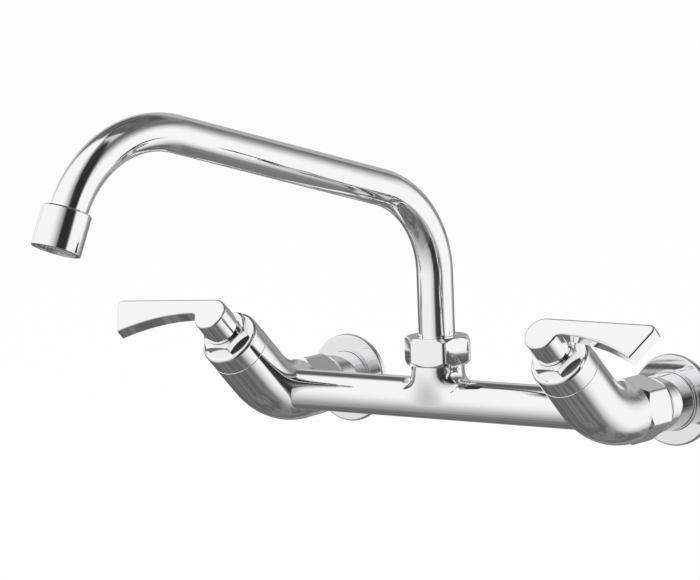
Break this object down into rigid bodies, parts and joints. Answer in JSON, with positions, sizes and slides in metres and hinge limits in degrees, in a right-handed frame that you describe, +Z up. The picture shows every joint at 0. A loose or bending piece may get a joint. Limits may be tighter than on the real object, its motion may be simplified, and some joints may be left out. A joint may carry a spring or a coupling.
{
  "type": "commercial wall faucet",
  "caption": "Wall-mounted kitchen mixer tap: a crossbar between angled quarter-turn lever valves on wall unions carries a swinging bent spout with an aerator.",
  "frame": {"origin": "midpoint between the two wall inlets, on the wall's face", "axes": "+X along the bar to the right as seen from the room, +Y into the wall along the inlet shanks, +Z up"},
  "size_m": [0.327, 0.3217, 0.1857],
  "materials": {
    "polished_chrome": "polished chrome plate over brass",
    "bare_brass": "machined brass",
    "black_rubber": "matt black",
    "white_acetal": "moulded, matt",
    "alumina_ceramic": "lapped ceramic",
    "stainless_steel": "satin"
  },
  "bodies": {
    "faucet_body": {"body_bar": "polished_chrome", "spout_nut": "polished_chrome", "spout_bearing_ring": "white_acetal", "spout_slip_ring": "white_acetal", "right_valve_body": "polished_chrome", "right_union_nut": "polished_chrome", "right_connector": "polished_chrome", "right_flange": "polished_chrome", "right_bonnet": "polished_chrome", "right_union_tail": "bare_brass", "right_union_washer": "black_rubber", "right_bonnet_seal": "black_rubber", "right_seat_seal": "black_rubber", "right_fixed_disc": "alumina_ceramic", "right_cartridge_housing": "bare_brass", "left_valve_body": "polished_chrome", "left_union_nut": "polished_chrome", "left_connector": "polished_chrome", "left_flange": "polished_chrome", "left_bonnet": "polished_chrome", "left_union_tail": "bare_brass", "left_union_washer": "black_rubber", "left_bonnet_seal": "black_rubber", "left_seat_seal": "black_rubber", "left_fixed_disc": "alumina_ceramic", "left_cartridge_housing": "bare_brass"},
    "right_handle": {"right_moving_disc": "alumina_ceramic", "right_spindle": "bare_brass", "right_spindle_o_rings": "black_rubber", "right_spindle_clip": "stainless_steel", "right_lever": "polished_chrome", "right_lever_screw": "stainless_steel"},
    "left_handle": {"left_moving_disc": "alumina_ceramic", "left_spindle": "bare_brass", "left_spindle_o_rings": "black_rubber", "left_spindle_clip": "stainless_steel", "left_lever": "polished_chrome", "left_lever_screw": "stainless_steel"},
    "spout": {"spout_spigot": "bare_brass", "spout_o_rings": "black_rubber", "spout_tube": "polished_chrome", "spout_ferrule": "polished_chrome", "aerator_housing": "polished_chrome", "aerator_washer": "black_rubber", "aerator_insert": "white_acetal", "aerator_screen": "stainless_steel"}
  },
  "joints": [
    {"name": "right_handle_turn", "type": "hinge", "parent": "faucet_body", "child": "right_handle", "pos_m": [0.1016, -0.0656, 0], "axis": [0, -0.7302, 0.6833], "range_deg": [-90, 0]},
    {"name": "left_handle_turn", "type": "hinge", "parent": "faucet_body", "child": "left_handle", "pos_m": [-0.1016, -0.0656, 0], "axis": [0, -0.7302, 0.6833], "range_deg": [0, 90]},
    {"name": "spout_swing", "type": "hinge", "parent": "faucet_body", "child": "spout", "pos_m": [0, -0.0617, 0], "axis": [0, 0, 1], "range_deg": [-78.4, 101.6]}
  ]
}
